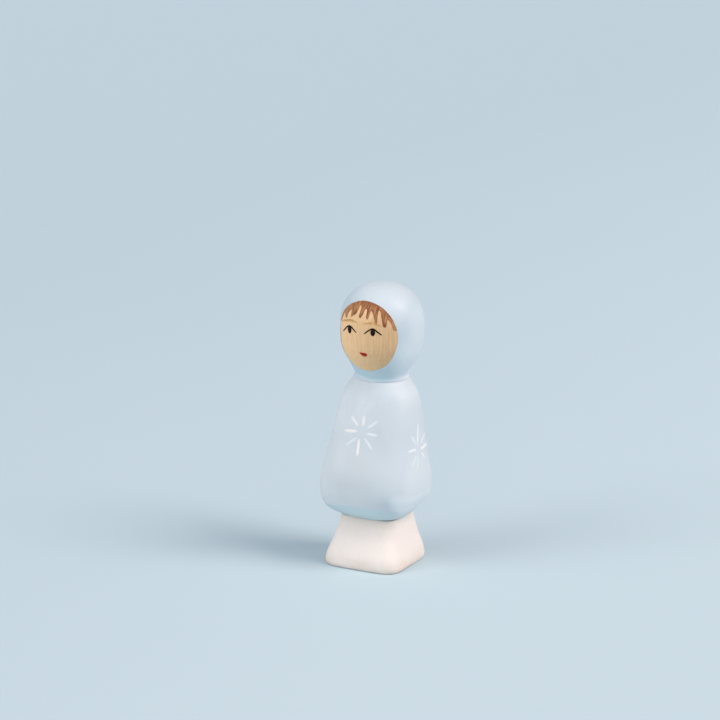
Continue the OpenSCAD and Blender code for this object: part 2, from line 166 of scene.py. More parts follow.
# Soft random patterns: width, depth and height of a cell in millimetres, detail and roughness
BRUSH_STREAKS = ((0.7, 0.7, 14), 4, 0.6)
PAINT_CLOUDS = ((7, 7, 9), 2, 0.5)
LIME_GRAIN = ((0.25, 0.25, 5), 2, 0.6)
GESSO_CLOUDS = ((4, 4, 3), 3, 0.5)
GESSO_STREAKS = ((0.6, 0.6, 7), 4, 0.6)
GESSO_SPECKS = ((0.5, 0.5, 0.7), 3, 0.7)
WOOD_BANDS = ((0.4, 0.4, 14), 4, 0.65)
LIME_FLECKS = ((0.22, 0.22, 3.5), 2, 0.6)
BEECH_FLECKS = ((0.4, 0.4, 3.5), 2, 0.6)
EYE_HAIRS = ((0.5, 0.5, 0.5), 3, 0.6)
BROW_HAIRS = ((0.4, 0.4, 0.4), 3, 0.6)
LIP_HAIRS = ((0.6, 0.6, 0.6), 3, 0.6)
SNOW_HAIRS = ((0.35, 0.35, 0.35), 3, 0.6)
PAPER_CLOUDS = ((160, 160, 160), 2, 0.5)

# Optical values, sockets of the Mix node for colours and for plain values, and the two ways a fade runs
PAINT_IOR, WOOD_IOR, PAPER_IOR = 1.47, 1.5, 1.4
STAIN_GLOSS = 0.1
MIX_FACTOR, MIX_A, MIX_B, MIX_OUT = 0, 6, 7, 2
FLOAT_FACTOR, FLOAT_A, FLOAT_B = 0, 2, 3
SOFT, EVEN = "SMOOTHSTEP", "LINEAR"

# Lamps: way to the right, towards the camera and up, spread in degrees, colour
LAMPS = {
    "key": (0.8, 0.28, 0.92, 30, "#FFECE2"),
    "fill": (-0.85, 0.46, 0.64, 32, "#FFF3EC"),
    "front": (-0.25, 0.8, 0.35, 140, "#FFFFFF"),
}
ROOM_COLOUR = "#E9F1FF"

# Paper sweep, in shares of its reach: the flat part's inset and edge, then how far out and up each step turns
SWEEP_SIDES = 96
SWEEP_INSET = 0.6
SWEEP_EDGE = 0.9
SWEEP_STEPS = ((1.08, 0.02), (1.14, 0.08), (1.17, 0.18), (1.18, 0.32))
SWEEP_ANGLE = math.radians(60)

# Camera: width of its sensor in millimetres, and how far it sees in metres
SENSOR_W = 36
FAR_CLIP = 10


def linear(code):
    """Linear colour of an sRGB hex value."""
    channels = [int(code[i:i + 2], 16) / 255 for i in (1, 3, 5)]
    return tuple(c / 12.92 if c <= 0.04045 else ((c + 0.055) / 1.055) ** 2.4 for c in channels)


def length(name, description, millimetres):
    """A size that a user may change, in metres behind and millimetres here."""
    return FloatProperty(name=name, description=description, default=millimetres * MM, min=0, precision=5,
                         subtype="DISTANCE", unit="LENGTH")


def angle(name, description, degrees):
    """A turn that a user may change, in radians behind and degrees here."""
    return FloatProperty(name=name, description=description, default=math.radians(degrees), subtype="ANGLE",
                         unit="ROTATION")


def strength(name, description, value):
    """A strength of light that a user may change."""
    return FloatProperty(name=name, description=description, default=value, min=0)


def colour(name, description, code):
    """A colour that a user may change."""
    return FloatVectorProperty(name=name, description=description, default=linear(code), size=3, min=0, max=1,
                               subtype="COLOR")


class DollBlocks(bpy.types.PropertyGroup):
    """Sizes of the carved and turned wood."""

    carve_depth: length("Carving depth", "How deep the knife's soft hollows are", 0.3)
    carve_width: length("Carving width", "How wide the knife's soft hollows are", 9)
    dowel_fit: length("Dowel fit", "Radial room between a dowel and its bore", 0.05)
    glue_room: length("Glue room", "Room for glue at the end of a bore", 0.5)


class DollFace(bpy.types.PropertyGroup):
    """Sizes of the painted hood and face."""

    look: angle("Look", "Turn of the face towards the figure's right", 5)
    hood_t: length("Hood thickness", "Thickness of the hood's ground and paint", 0.25)
    opening_h: length("Opening height", "Height of the face opening's middle above the neck joint", 13.15)
    opening_half_w: length("Opening half width", "Half width of the face opening", 9.1)
    opening_half_h: length("Opening half height", "Half height of the face opening", 10.05)
    paint_t: length("Mark thickness", "Thickness of a painted mark in its middle", 0.1)
    lid_stroke: length("Lid stroke", "Stroke of an eye's lid in its middle", 0.45)
    brow_stroke: length("Brow stroke", "Stroke of a brow in its middle", 0.6)


class DollSnow(bpy.types.PropertyGroup):
    """Sizes of the snowflakes on the coat."""

    side_drop: length("Side drop", "How much lower the right snowflake sits than the front one", 4.5)
    full_w: length("Full stroke", "Width of a ray with a full load of paint", 0.85)
    thin_w: length("Thin stroke", "Width of a ray with hardly any paint", 0.55)
    ray_t: length("Ray thickness", "Thickness of a ray in its middle", 0.05)


class DollColours(bpy.types.PropertyGroup):
    """Colours of the paints, stains and wood, and of the painted light and shade."""

    coat_pale: colour("Coat, pale", "Coat paint where the brush left it thin", "#E2E7EC")
    coat_blue: colour("Coat, full", "Coat paint where it lies full", "#D6DEE3")
    # Painted shade: a darker blue on the belly and under the collar
    coat_shade: colour("Coat, belly", "Coat paint where two coats lie", "#C9D1D5")
    # Painted shade: a darker blue on the figure's left flank, where the key light falls
    coat_flank_shade: colour("Coat, flank", "Coat paint on the figure's left flank", "#CBD6DD")
    # Painted light: a paler blue on the left shoulder, the outer edges and the hem's left end
    coat_painted_light: colour("Coat, thin", "Coat paint where it was drawn off an edge", "#F4F9FC")
    # Painted shade: a darker, bluer blue along the turned-in hem
    coat_hem_shade: colour("Coat, hem", "Coat paint where it pools in the turned-in hem", "#C8DBE0")
    # Painted shade round the lower half of the face and under the chin
    hood_chin_shade: colour("Hood, pooled", "Hood paint where it pools under the chin", "#BBD2D9")
    # Painted shade in the neck's crease
    hood_crease_shade: colour("Hood, crease", "Hood paint where it fills the neck's crease", "#A4C1CC")
    hood_pale: colour("Hood, pale", "Hood paint where the brush left it thin", "#CAD7DF")
    # Painted light on the left of the jaw and at the left edge
    hood_painted_light: colour("Hood, thin", "Hood paint where it was drawn off the jaw", "#ECF2F7")
    # Painted shade on the figure's left, where the key light falls
    hood_flank_shade: colour("Hood, flank", "Hood paint on the figure's left", "#CAD6DF")
    hood_blue: colour("Hood, full", "Hood paint where it lies full", "#C5D4DD")
    base_white: colour("Base, full", "White paint of the base", "#F1E7E0")
    # Painted shade under the hem in front
    base_hem_shade: colour("Base, grubby", "White paint under the hem, grey from handling", "#CDC3B7")
    base_worn: colour("Base, worn", "Wood that shows through the base's paint", "#DBC0A6")
    wood_light: colour("Face, light", "Early wood of the face", "#FACE9A")
    wood_dark: colour("Face, dark", "Late wood and flecks of the face", "#CBA57B")
    hair_dark: colour("Hair, dark", "Brown stain where the brush was full", "#855339")
    hair_light: colour("Hair, light", "Brown stain where the brush ran dry", "#B8855A")
    eye_black: colour("Eye", "Paint of the lids and pupils", "#1C100B")
    eye_brown: colour("Eye, thin", "Paint of the lids where it is thin", "#5A4334")
    brow_tan: colour("Brow", "Faint stain of the brows", "#BF8E50")
    lip_red: colour("Lip", "Paint of the mouth", "#A8231A")
    lip_light: colour("Lip, thin", "Paint of the mouth where it is thin", "#C4583F")
    snow_warm: colour("Snow, warm", "White of the snowflakes' warm strokes", "#F7F0EC")
    snow_cool: colour("Snow, cool", "White of the snowflakes' cool strokes", "#F2F8FA")
    beech_light: colour("Dowel, light", "Early wood of the dowels", "#D3B389")
    beech_dark: colour("Dowel, dark", "Late wood and flecks of the dowels", "#B08A5C")
    # The two paper colours paint a shade that darkens the paper towards the back and left
    paper_near: colour("Sweep, near", "Pale blue paper in front of the figure", "#C0D4DD")
    paper_far: colour("Sweep, far", "Pale blue paper behind the figure", "#B4C8D3")


class DollStage(bpy.types.PropertyGroup):
    """Camera, lamps and floor."""

    camera_side: angle("Camera side", "Turn of the camera to the figure's left", 26)
    camera_rise: angle("Camera rise", "Height of the camera above the horizon", 18.5)
    camera_lean: angle("Camera lean", "Lean of the camera about its own axis", 0.9)
    camera_away: length("Camera distance", "Distance of the camera from the figure's foot", 1300)
    aim_left: length("Aim to the left", "How far left of the foot the camera points", 4.36)
    aim_up: length("Aim up", "How far above the foot the camera points", 55.98)
    foot_front: length("Foot", "How far in front of the middle the foot's sighting point lies", 0.6)
    lens: FloatProperty(name="Lens", description="Focal length in millimetres on a 36 mm sensor",
                        default=231.1, min=1)
    key: strength("Key", "Strength of the soft light at the right", 1.99)
    fill: strength("Fill", "Strength of the soft light at the left", 0.82)
    front: strength("Front", "Strength of the soft light behind the camera", 1.5)
    sky: strength("Room light", "Strength of the light from all round", 0.36)
    floor_reach: length("Floor reach", "Radius of the paper's flat part", 2000)


class DollProperties(bpy.types.PropertyGroup):
    """All that a user may change."""

    blocks: PointerProperty(type=DollBlocks)
    face: PointerProperty(type=DollFace)
    snow: PointerProperty(type=DollSnow)
    colours: PointerProperty(type=DollColours)
    stage: PointerProperty(type=DollStage)


def settings():
    """The values that a user may have changed."""
    return bpy.context.scene.peg_doll


def tone(name):
    """One of the user's colours, as a shader takes it."""
    return (*getattr(settings().colours, name), 1)


# Working by hand

def hold(*pieces):
    """Leave edit mode and select these pieces only, the first one active."""
    if bpy.context.object and bpy.context.object.mode != "OBJECT":
        bpy.ops.object.mode_set(mode="OBJECT")
    bpy.ops.object.select_all(action="DESELECT")
    for piece in pieces:
        piece.select_set(True)
    if pieces:
        bpy.context.view_layer.objects.active = pieces[0]


def settle():
    """Put the active piece's place, turn and size into its mesh."""
    bpy.ops.object.transform_apply(location=True, rotation=True, scale=True)


def put_away(piece):
    """Delete a piece that was only a tool."""
    hold(piece)
    bpy.ops.object.delete()


def name_new(name):
    """Name the primitive that was just added, put its place in its mesh and return it."""
    settle()
    piece = bpy.context.object
    piece.name = piece.data.name = name
    return piece


def edit(piece):
    """Open a piece for editing with all of it selected."""
    hold(piece)
    bpy.ops.object.mode_set(mode="EDIT")
    bpy.ops.mesh.select_mode(type="VERT")
    bpy.ops.mesh.select_all(action="SELECT")


def close_up(piece):
    """Merge what lies in one place, point the faces outwards and leave edit mode."""
    bpy.ops.mesh.select_all(action="SELECT")
    bpy.ops.mesh.remove_doubles(threshold=SAME_PLACE)
    bpy.ops.mesh.normals_make_consistent(inside=False)
    hold(piece)


def modify(piece, kind, **values):
    """Add a modifier with its settings and apply it."""
    hold(piece)
    modifier = piece.modifiers.new(kind.title(), kind)
    for key, value in values.items():
        setattr(modifier, key, value)
    bpy.ops.object.modifier_apply(modifier=modifier.name)


def smooth(piece, levels):
    """Subdivide a piece smoothly."""
    modify(piece, "SUBSURF", levels=levels, render_levels=levels)


def combine(piece, tool, operation):
    """Cut a tool out of a piece or join the two, and put the tool away."""
    modify(piece, "BOOLEAN", object=tool, operation=operation, solver="EXACT")
    put_away(tool)


def pick(piece, wanted):
    """Select these vertices of the piece that is being edited."""
    mesh = bmesh.from_edit_mesh(piece.data)
    for vertex in mesh.verts:
        vertex.select_set(vertex.index in wanted)
    mesh.select_flush_mode()
    bmesh.update_edit_mesh(piece.data)


def pull(piece, places):
    """Pull single vertices to their places: a dictionary of index and place."""
    for index, place in places.items():
        mesh = bmesh.from_edit_mesh(piece.data)
        mesh.verts.ensure_lookup_table()
        step = Vector(place) - mesh.verts[index].co
        pick(piece, {index})
        bpy.ops.transform.translate(value=step)


def dress(piece, node, material):
    """Give a finished piece its material and place on the frame, and hide the CAD part it stands for."""
    hold(piece)
    bpy.ops.object.shade_smooth_by_angle(angle=SMOOTH_ANGLE)
    piece.data.materials.clear()
    piece.data.materials.append(material)
    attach(piece, "root")
    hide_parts(node)


# Carved and turned blocks

def rings_of(node):
    """Rings of a CAD block from the bottom up: height, shift to the left, half width, front, back and
    fullness of the corners."""
    rows = []
    for place in sorted((v.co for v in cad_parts[node].data.vertices), key=lambda co: co.z):
        if not rows or place.z - rows[-1][0].z > SAME_PLACE:
            rows.append([])
        rows[-1].append(place)
    crown = rows[-1][0].z - CROWN
    rings = []
    for row in rows:
        right, left = min(p.x for p in row), max(p.x for p in row)
        front, back = min(p.y for p in row), max(p.y for p in row)
        shift, half_w = (left + right) / 2, (left - right) / 2
        narrowest = SAME_PLACE if row[0].z > crown else BORE_LIMIT
        if half_w > narrowest:
            middle, half_d = (front + back) / 2, (back - front) / 2
            corner = max(abs((p.x - shift) * (p.y - middle)) for p in row) / (half_w * half_d)
            rings.append((row[0].z, shift, half_w, front, back, corner))
    return rings


def fit_ring(piece, ring):
    """Resize and move the selected ring to its height, shift, half width, front and back."""
    height, shift, half_w, front, back = ring[:5]
    places = [v.co for v in bmesh.from_edit_mesh(piece.data).verts if v.select]
    low, high = Vector(map(min, zip(*places))), Vector(map(max, zip(*places)))
    middle = (low + high) / 2
    across, deep = 2 * half_w / (high.x - low.x), (back - front) / (high.y - low.y)
    bpy.ops.transform.resize(value=(across, deep, 1), center_override=middle)
    bpy.ops.transform.translate(value=Vector((shift, (front + back) / 2, height)) - middle)


def round_ring(piece, ring, share):
    """Draw the selected ring towards a circle, as the carver takes the corners off."""
    fit_ring(piece, (ring[0], 0, 1, -1, 1))
    bpy.ops.transform.tosphere(value=share)


def excess(ring):
    """How far a ring's corners stand out past an ellipse."""
    return max(0, math.sqrt(2 * ring[5]) - 1)


def raise_block(name, rings):
    """Raise a carved block: a rounded square pulled up ring by ring, rounder where the frame's rings are."""
    hold()
    bpy.ops.mesh.primitive_plane_add(size=2)
    block = name_new(name)
    edit(block)
    bpy.ops.mesh.bevel(offset=1, affect="VERTICES", segments=CORNER_SEGMENTS, profile=rings[0][5])
    bpy.ops.mesh.select_all(action="SELECT")
    bpy.ops.mesh.remove_doubles(threshold=SAME_PLACE)
    fit_ring(block, rings[0])
    left = 1
    for ring in rings[1:]:
        bpy.ops.mesh.extrude_region_move()
        goal = min(left, excess(ring) / excess(rings[0]))
        if goal < left:
            round_ring(block, ring, 1 - goal / left)
            left = goal
        fit_ring(block, ring)
    close_up(block)
    return block


def soften(block):
    """Carve soft hollows into the flanks, inwards only, and leave the two flat ends as they are."""
    sizes = settings().blocks
    smooth(block, 2)
    low, high = min(v.co.z for v in block.data.vertices), max(v.co.z for v in block.data.vertices)
    flank = block.vertex_groups.new(name="flank")
    for vertex in block.data.vertices:
        reach = min(vertex.co.z - low, high - vertex.co.z) / FLANK_REACH
        flank.add([vertex.index], max(0, min(1, reach)), "REPLACE")
    hollows = bpy.data.textures.new("knife hollows", "CLOUDS")
    hollows.noise_scale = sizes.carve_width
    hollows.noise_depth = 1
    modify(block, "DISPLACE", texture=hollows, texture_coords="LOCAL", mid_level=1,
           strength=sizes.carve_depth, vertex_group=flank.name)


def drill(block, dowel, joint_z, up):
    """Drill the blind bore that takes half of a dowel."""
    sizes = settings().blocks
    low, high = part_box(dowel)
    end = (high.z + sizes.glue_room) if up else (low.z - sizes.glue_room)
    start = joint_z - OVERCUT if up else joint_z + OVERCUT
    hold()
    bpy.ops.mesh.primitive_cylinder_add(
        vertices=BORE_SIDES, radius=(high.x - low.x) / 2 + sizes.dowel_fit, depth=abs(end - start),
        location=(0, (low.y + high.y) / 2, (start + end) / 2))
    combine(block, name_new("bit"), "DIFFERENCE")


def turn_form(name, filled):
    """Turn the head's form: a circle pulled up ring by ring and closed at the crown."""
    rings = rings_of("head")
    hold()
    bpy.ops.mesh.primitive_circle_add(vertices=TURNED_SIDES, radius=rings[0][2],
                                      fill_type="NGON" if filled else "NOTHING")
    form = name_new(name)
    edit(form)
    fit_ring(form, rings[0])
    for ring in rings[1:-1]:
        bpy.ops.mesh.extrude_region_move()
        fit_ring(form, ring)
    bpy.ops.mesh.extrude_region_move()
    bpy.ops.mesh.merge(type="CENTER")
    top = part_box("head")[1].z
    bpy.ops.transform.translate(value=(0, 0, top - rings[-2][0]))
    close_up(form)
    smooth(form, 1)
    return form


# Painted marks

def opening(turn):
    """A point on the edge of the face opening: an oval, a little fuller at the figure's upper left, with the
    waves of the hand-painted edge."""
    face = settings().face
    lean = turn - FULL_TURN
    grow = 1 + FULLER * math.cos(lean) + LONGER * math.cos(2 * lean)
    for middle, spread, reach in OPENING_WAVES:
        past = (math.degrees(turn) - middle + 180) % 360 - 180
        grow += reach * math.exp(-(past / spread) ** 2)
    return (grow * face.opening_half_w * math.cos(turn),
            NECK_Z + face.opening_h + grow * face.opening_half_h * math.sin(turn))


def above_neck(points):
    """Places across the face and up, from millimetres across it and above the neck joint."""
    return [(x * MM, NECK_Z + h * MM) for x, h in points]


def through(points):
    """Guide points that make a soft curve pass through these points."""
    guides = [Vector(p) for p in points]
    for _ in range(GUIDE_PASSES):
        ends = [guides[0], *guides, guides[-1]]
        soft = [(ends[k] + 4 * ends[k + 1] + ends[k + 2]) / 6 for k in range(len(guides))]
        guides = [g + Vector(p) - c for g, p, c in zip(guides, points, soft)]
    return guides


def flat_mark(name, upper, lower, levels, rows=STROKE_ROWS):
    """Lay out a flat mark that faces the front, pulled to its upper and lower edge column by column. Each
    point notes how far along and how high in the mark it lies."""
    hold()
    upper, lower = through(upper), through(lower)
    columns = len(upper)
    bpy.ops.mesh.primitive_grid_add(x_subdivisions=columns - 1, y_subdivisions=rows, size=2,
                                    rotation=UPRIGHT)
    mark = name_new(name)
    edit(mark)
    order = sorted(bmesh.from_edit_mesh(mark.data).verts, key=lambda v: (round(v.co.x, 4), round(v.co.z, 4)))
    if len(order) != columns * (rows + 1):
        raise RuntimeError(f"{name}: the grid has {len(order)} points")
    order = [v.index for v in order]
    places = {}
    for k, index in enumerate(order):
        column, row = divmod(k, rows + 1)
        share = row / rows
        x, z = (low + (high - low) * share for low, high in zip(lower[column], upper[column]))
        places[index] = (x, -DRAWN_AWAY, z)
    pull(mark, places)
    hold(mark)
    along, rise = (mark.data.attributes.new(word, "FLOAT", "POINT") for word in ("along", "rise"))
    for k, index in enumerate(order):
        column, row = divmod(k, rows + 1)
        along.data[index].value = column / (columns - 1)
        rise.data[index].value = row / rows
    smooth(mark, levels)
    return mark


def lay_on(mark, ground, side, thickness):
    """Turn a flat mark to a side of the figure, press it on to the wood and give the paint its body."""
    hold(mark)
    mark.rotation_euler.z = math.radians(side)
    settle()
    modify(mark, "SHRINKWRAP", target=ground, wrap_method="PROJECT", use_project_x=side in (LEFT, RIGHT),
           use_project_y=side in (FRONT, BACK), use_project_z=False,
           use_positive_direction=side in (FRONT, RIGHT), use_negative_direction=side in (BACK, LEFT))
    edit(mark)
    rim = {v.index for v in bmesh.from_edit_mesh(mark.data).verts if v.is_boundary}
    hold(mark)
    body = mark.vertex_groups.new(name="body")
    body.add([v.index for v in mark.data.vertices if v.index not in rim], 1, "REPLACE")
    modify(mark, "SOLIDIFY", thickness=thickness, offset=1, vertex_group=body.name,
           thickness_vertex_group=MARK_EDGE)


def turn_face(piece):
    """Turn a piece of the face about the head's axis to where the face looks."""
    hold(piece)
    axis = Matrix.Translation((0, HEAD_Y, 0))
    piece.matrix_world = axis @ Matrix.Rotation(-settings().face.look, 4, "Z") @ axis.inverted()
    settle()


def lay_on_face(mark):
    """Press a flat mark on to the head and turn it with the face."""
    lay_on(mark, bpy.data.objects["head_block"], FRONT, settings().face.paint_t)
    turn_face(mark)


def stroke(name, points, width, ends):
    """A brush stroke along points in millimetres, with its middle width and the share of it at the ends."""
    last = len(points) - 1
    upper, lower = [], []
    for k, (x, h) in enumerate(points):
        before, after = points[max(k - 1, 0)], points[min(k + 1, last)]
        along = Vector((after[0] - before[0], after[1] - before[1])).normalized()
        half = width * (ends + (1 - ends) * math.sin(math.pi * k / last)) / 2
        upper.append((x * MM - along.y * half, NECK_Z + h * MM + along.x * half))
        lower.append((x * MM + along.y * half, NECK_Z + h * MM - along.x * half))
    return flat_mark(name, upper, lower, 2)


# Materials

def add(tree, kind, inputs=None, out=0, **attributes):
    """Add a node, set its attributes, link or fill its inputs and return one of its outputs."""
    made = tree.nodes.new("ShaderNode" + kind)
    for key, value in attributes.items():
        setattr(made, key, value)
    for key, value in (inputs or {}).items():
        if isinstance(value, bpy.types.NodeSocket):
            tree.links.new(value, made.inputs[key])
        else:
            made.inputs[key].default_value = value
    return made.outputs[out]


def start_material(name, patterns, **sockets):
    """A new material, its tree, its shader with uniform values set, the object's own coordinates, and soft
    random patterns that are as coarse as told."""
    material = bpy.data.materials.new(name)
    material.use_nodes = True
    tree = material.node_tree
    shader = tree.nodes["Principled BSDF"]
    for key, value in sockets.items():
        shader.inputs[key.replace("_", " ")].default_value = value
    place = add(tree, "TexCoord", out="Object")
    made = []
    for cell, detail, roughness in patterns:
        sized = add(tree, "Mapping", {"Vector": place, "Scale": [1 / (side * MM) for side in cell]})
        made.append(add(tree, "TexNoise", {"Vector": sized, "Scale": 1, "Detail": detail,
                                           "Roughness": roughness}))
    return material, tree, shader, place, *made


def finish_material(material, shader, shade, relief=None, rough=None):
    """Link the colour to the shader, and where there are any the roughness and the relief: its pattern, its
    strength and its depth in millimetres."""
    tree = material.node_tree
    tree.links.new(shade, shader.inputs["Base Color"])
    if rough is not None:
        tree.links.new(rough, shader.inputs["Roughness"])
    if relief is not None:
        pattern, force, depth = relief
        bump = add(tree, "Bump", {"Height": pattern, "Strength": force, "Distance": depth * MM})
        tree.links.new(bump, shader.inputs["Normal"])
    return material


def gather(tree, patches, operation):
    """Share of paint from several patches. A patch is the product of its fades, and a fade is a value, where
    it starts and ends, the shares of paint there and the way in which it runs."""
    cover = 0
    for fades in patches:
        share = 1
        for value, start, end, first, last, run in fades:
            fade = add(tree, "MapRange", {"Value": value, "From Min": start, "From Max": end, "To Min": first,
                                          "To Max": last}, interpolation_type=run)
            share = add(tree, "Math", {0: share, 1: fade}, operation="MULTIPLY")
        cover = add(tree, "Math", {0: cover, 1: share}, operation=operation)
    return cover


def paint_over(tree, shade, zones):
    """Lay paints over a ground one after the other. Where a paint's patches overlap, the fullest counts."""
    for paint, *patches in zones:
        cover = gather(tree, patches, "MAXIMUM")
        shade = add(tree, "Mix", {MIX_FACTOR: cover, MIX_A: shade, MIX_B: tone(paint)}, out=MIX_OUT,
                    data_type="RGBA")
    return shade


def brushed(name, pale, full):
    """Water paint brushed thinly on limewood: satin and cloudy, with upright brush streaks that let the grain
    through. Gives the started material, its clouds and its colour, relief and roughness."""
    material, tree, shader, place, streaks, clouds, grain = start_material(
        name, (BRUSH_STREAKS, PAINT_CLOUDS, LIME_GRAIN), IOR=PAINT_IOR)
    cover = add(tree, "Mix", {FLOAT_FACTOR: 0.55, FLOAT_A: streaks, FLOAT_B: clouds})
    shade = paint_over(tree, tone(pale), [(full, [(cover, 0.36, 0.64, 0, 1, EVEN)])])
    raised = add(tree, "Mix", {FLOAT_FACTOR: 0.4, FLOAT_A: streaks, FLOAT_B: grain})
    rough = add(tree, "MapRange", {"Value": cover, "From Min": 0.3, "From Max": 0.7,
                                   "To Min": 0.42, "To Max": 0.58})
    return material, tree, shader, place, clouds, shade, (raised, 0.35, 0.06), rough


def coat_paint():
    """Blue water paint on the carved limewood coat: painted shade on the belly, under the collar, on the left
    flank and along the turned-in hem, and painted light on the left shoulder, the outer edges and the hem's
    left end."""
    material, tree, shader, place, clouds, shade, relief, rough = brushed(
        "blue_paint_on_carved_limewood", "coat_pale", "coat_blue")
    across, height = (add(tree, "SeparateXYZ", {0: place}, out=axis) for axis in "XZ")
    from_shoulder = add(tree, "Math", {0: height, 1: SHOULDER_Z}, operation="SUBTRACT")
    from_shoulder = add(tree, "Math", {0: from_shoulder}, operation="ABSOLUTE")
    aside = add(tree, "Math", {0: across, 1: HEM_MIDDLE}, operation="SUBTRACT")
    bow = add(tree, "Math", {0: aside, 1: aside}, operation="MULTIPLY")
    bow = add(tree, "Math", {0: bow, 1: HEM_BOW, 2: height}, operation="MULTIPLY_ADD")
    hem_line = add(tree, "Math", {0: clouds, 1: HEM_WANDER, 2: bow}, operation="MULTIPLY_ADD")
    # Painted shade on the belly and under the collar
    belly = [(height, 24 * MM, 50 * MM, 0.9, 0, SOFT), (across, -14 * MM, -4 * MM, 0.2, 1, EVEN),
             (height, HEM_TOP, HEM_TOP + 6 * MM, 0.5, 1, EVEN)]
    collar = [(height, NECK_Z - 5 * MM, NECK_Z - MM, 0, 0.5, EVEN), (across, -2 * MM, 3 * MM, 1, 0, EVEN)]
    # Painted shade on the left flank
    flank = [(across, 1 * MM, 8 * MM, 0, 0.75, EVEN)]
    # Painted light at the hem's left end, on the left shoulder and at the outer edges
    hem_end = [(across, *HEM_END, 0, 0.9, SOFT), (height, 19.5 * MM, 24.5 * MM, 1, 0, SOFT)]
    shoulder = [(across, 7 * MM, 10 * MM, 0, 0.18, SOFT), (from_shoulder, 0, 6 * MM, 1, 0, SOFT)]
    right_edge = [(across, -10 * MM, -4 * MM, 0.06, 0, EVEN)]
    left_edge = [(across, 12 * MM, 14 * MM, 0, 0.2, EVEN)]
    # Painted shade along the turned-in hem
    hem = [(hem_line, HEM_TOP, HEM_TOP + 0.6 * MM, 0.95, 0, SOFT),
           (across, *HEM_END, 1, 0.145, SOFT)]
    shade = paint_over(tree, shade, [
        ("coat_shade", belly), ("coat_shade", collar), ("coat_flank_shade", flank),
        ("coat_painted_light", hem_end, shoulder, right_edge, left_edge), ("coat_hem_shade", hem)])
    return finish_material(material, shader, shade, relief, rough)


def hood_paint():
    """Blue water paint on the turned limewood hood: painted shade on the figure's left, round the lower half
    of the face, under the chin and in the neck's crease, and painted light on the left of the jaw and at the
    left edge."""
    material, tree, shader, place, _, shade, relief, rough = brushed(
        "blue_paint_on_turned_limewood", "hood_pale", "hood_blue")
    face = settings().face
    # Painted shade: an oval about the lower half of the face, kept to the front and below the jaw
    chin_shade_z = NECK_Z + face.opening_h - CHIN_SHADE_DROP
    facing = add(tree, "VectorRotate", {"Vector": place, "Center": (0, HEAD_Y, 0), "Angle": face.look},
                 rotation_type="Z_AXIS")
    from_chin_shade = add(tree, "Mapping", {"Vector": facing, "Location": (0, 0, -chin_shade_z / CHIN_SHADE_HALF_H),
                                      "Scale": (1 / CHIN_SHADE_HALF_W, 0, 1 / CHIN_SHADE_HALF_H)})
    away = add(tree, "VectorMath", {0: from_chin_shade}, out="Value", operation="LENGTH")
    deep = add(tree, "SeparateXYZ", {0: facing}, out="Y")
    leaning = add(tree, "VectorMath", {0: place, 1: CREASE_LEAN}, out="Value", operation="DOT_PRODUCT")
    across, height = (add(tree, "SeparateXYZ", {0: place}, out=axis) for axis in "XZ")
    above_jaw = add(tree, "Math", {0: height, 1: JAW_Z}, operation="SUBTRACT")
    from_jaw = add(tree, "Math", {0: above_jaw}, operation="ABSOLUTE")
    before = (deep, HEAD_Y - 6.5 * MM, HEAD_Y + 2 * MM, 1, 0, EVEN)
    # Painted shade on the figure's left
    flank = [(across, 0, 6 * MM, 0, 0.9, EVEN), (across, 7.5 * MM, 11 * MM, 1, 0.2, EVEN)]
    # Painted shade round the lower half of the face and under the chin, down to the leaning neck crease
    chin_shade = [(away, 0.87, 1.06, 1, 0, SOFT), before, (from_jaw, 0, 4.5 * MM, 0.35, 1, EVEN),
            (above_jaw, 8 * MM, 16 * MM, 1, 0, SOFT),
            (leaning, NECK_Z + 0.25 * MM, NECK_Z + 0.75 * MM, 0, 1, SOFT)]
    # Painted light on the left of the jaw and at the left edge
    jaw = [(across, 5.5 * MM, 9 * MM, 0, 0.62, EVEN), (above_jaw, 0, 9 * MM, 1, 0, SOFT)]
    left_edge = [(across, 10 * MM, 11.7 * MM, 0, 0.3, EVEN)]
    # Painted shade in the neck's crease
    crease = [(height, NECK_Z + 0.5 * MM, NECK_Z + 2 * MM, 0.65, 0, SOFT),
              (across, 1 * MM, 5 * MM, 0, 1, EVEN), before]
    shade = paint_over(tree, shade, [
        ("hood_flank_shade", flank), ("hood_chin_shade", chin_shade), ("hood_painted_light", jaw, left_edge), ("hood_crease_shade", crease)])
    return finish_material(material, shader, shade, relief, rough)


def worn_white():
    """White gesso paint on limewood: matt and slightly rosy, thin at the lower edge where handling let the
    warm wood show, and painted shade under the hem in front."""
    material, tree, shader, place, clouds, streaks, specks = start_material(
        "white_gesso_on_limewood", (GESSO_CLOUDS, GESSO_STREAKS, GESSO_SPECKS), IOR=PAINT_IOR)
    deep, height = (add(tree, "SeparateXYZ", {0: place}, out=axis) for axis in "YZ")
    handled = [(clouds, 0.35, 0.7, 0, 1, EVEN), (height, 0, 5 * MM, 0.5, 0, EVEN)]
    thin = [(streaks, 0.5, 0.8, 0, 0.18, EVEN)]
    flaws = [(specks, 0.66, 0.78, 0, 0.3, EVEN)]
    # Painted shade under the hem in front
    shade_under_hem = [(height, 8 * MM, 13 * MM, 0, 1, EVEN), (deep, -7.5 * MM, -5 * MM, 0.4, 0, EVEN)]
    worn = [(gather(tree, (handled, thin), "ADD"), 0, 1, 0, 1, EVEN)]
    shade = paint_over(tree, tone("base_white"), [("base_worn", worn, flaws), ("base_hem_shade", shade_under_hem)])
    rough = add(tree, "MapRange", {"Value": clouds, "From Min": 0.3, "From Max": 0.7,
                                   "To Min": 0.5, "To Max": 0.68})
    raised = add(tree, "Mix", {FLOAT_FACTOR: 0.4, FLOAT_A: streaks, FLOAT_B: specks})
    return finish_material(material, shader, shade, (raised, 0.4, 0.08), rough)


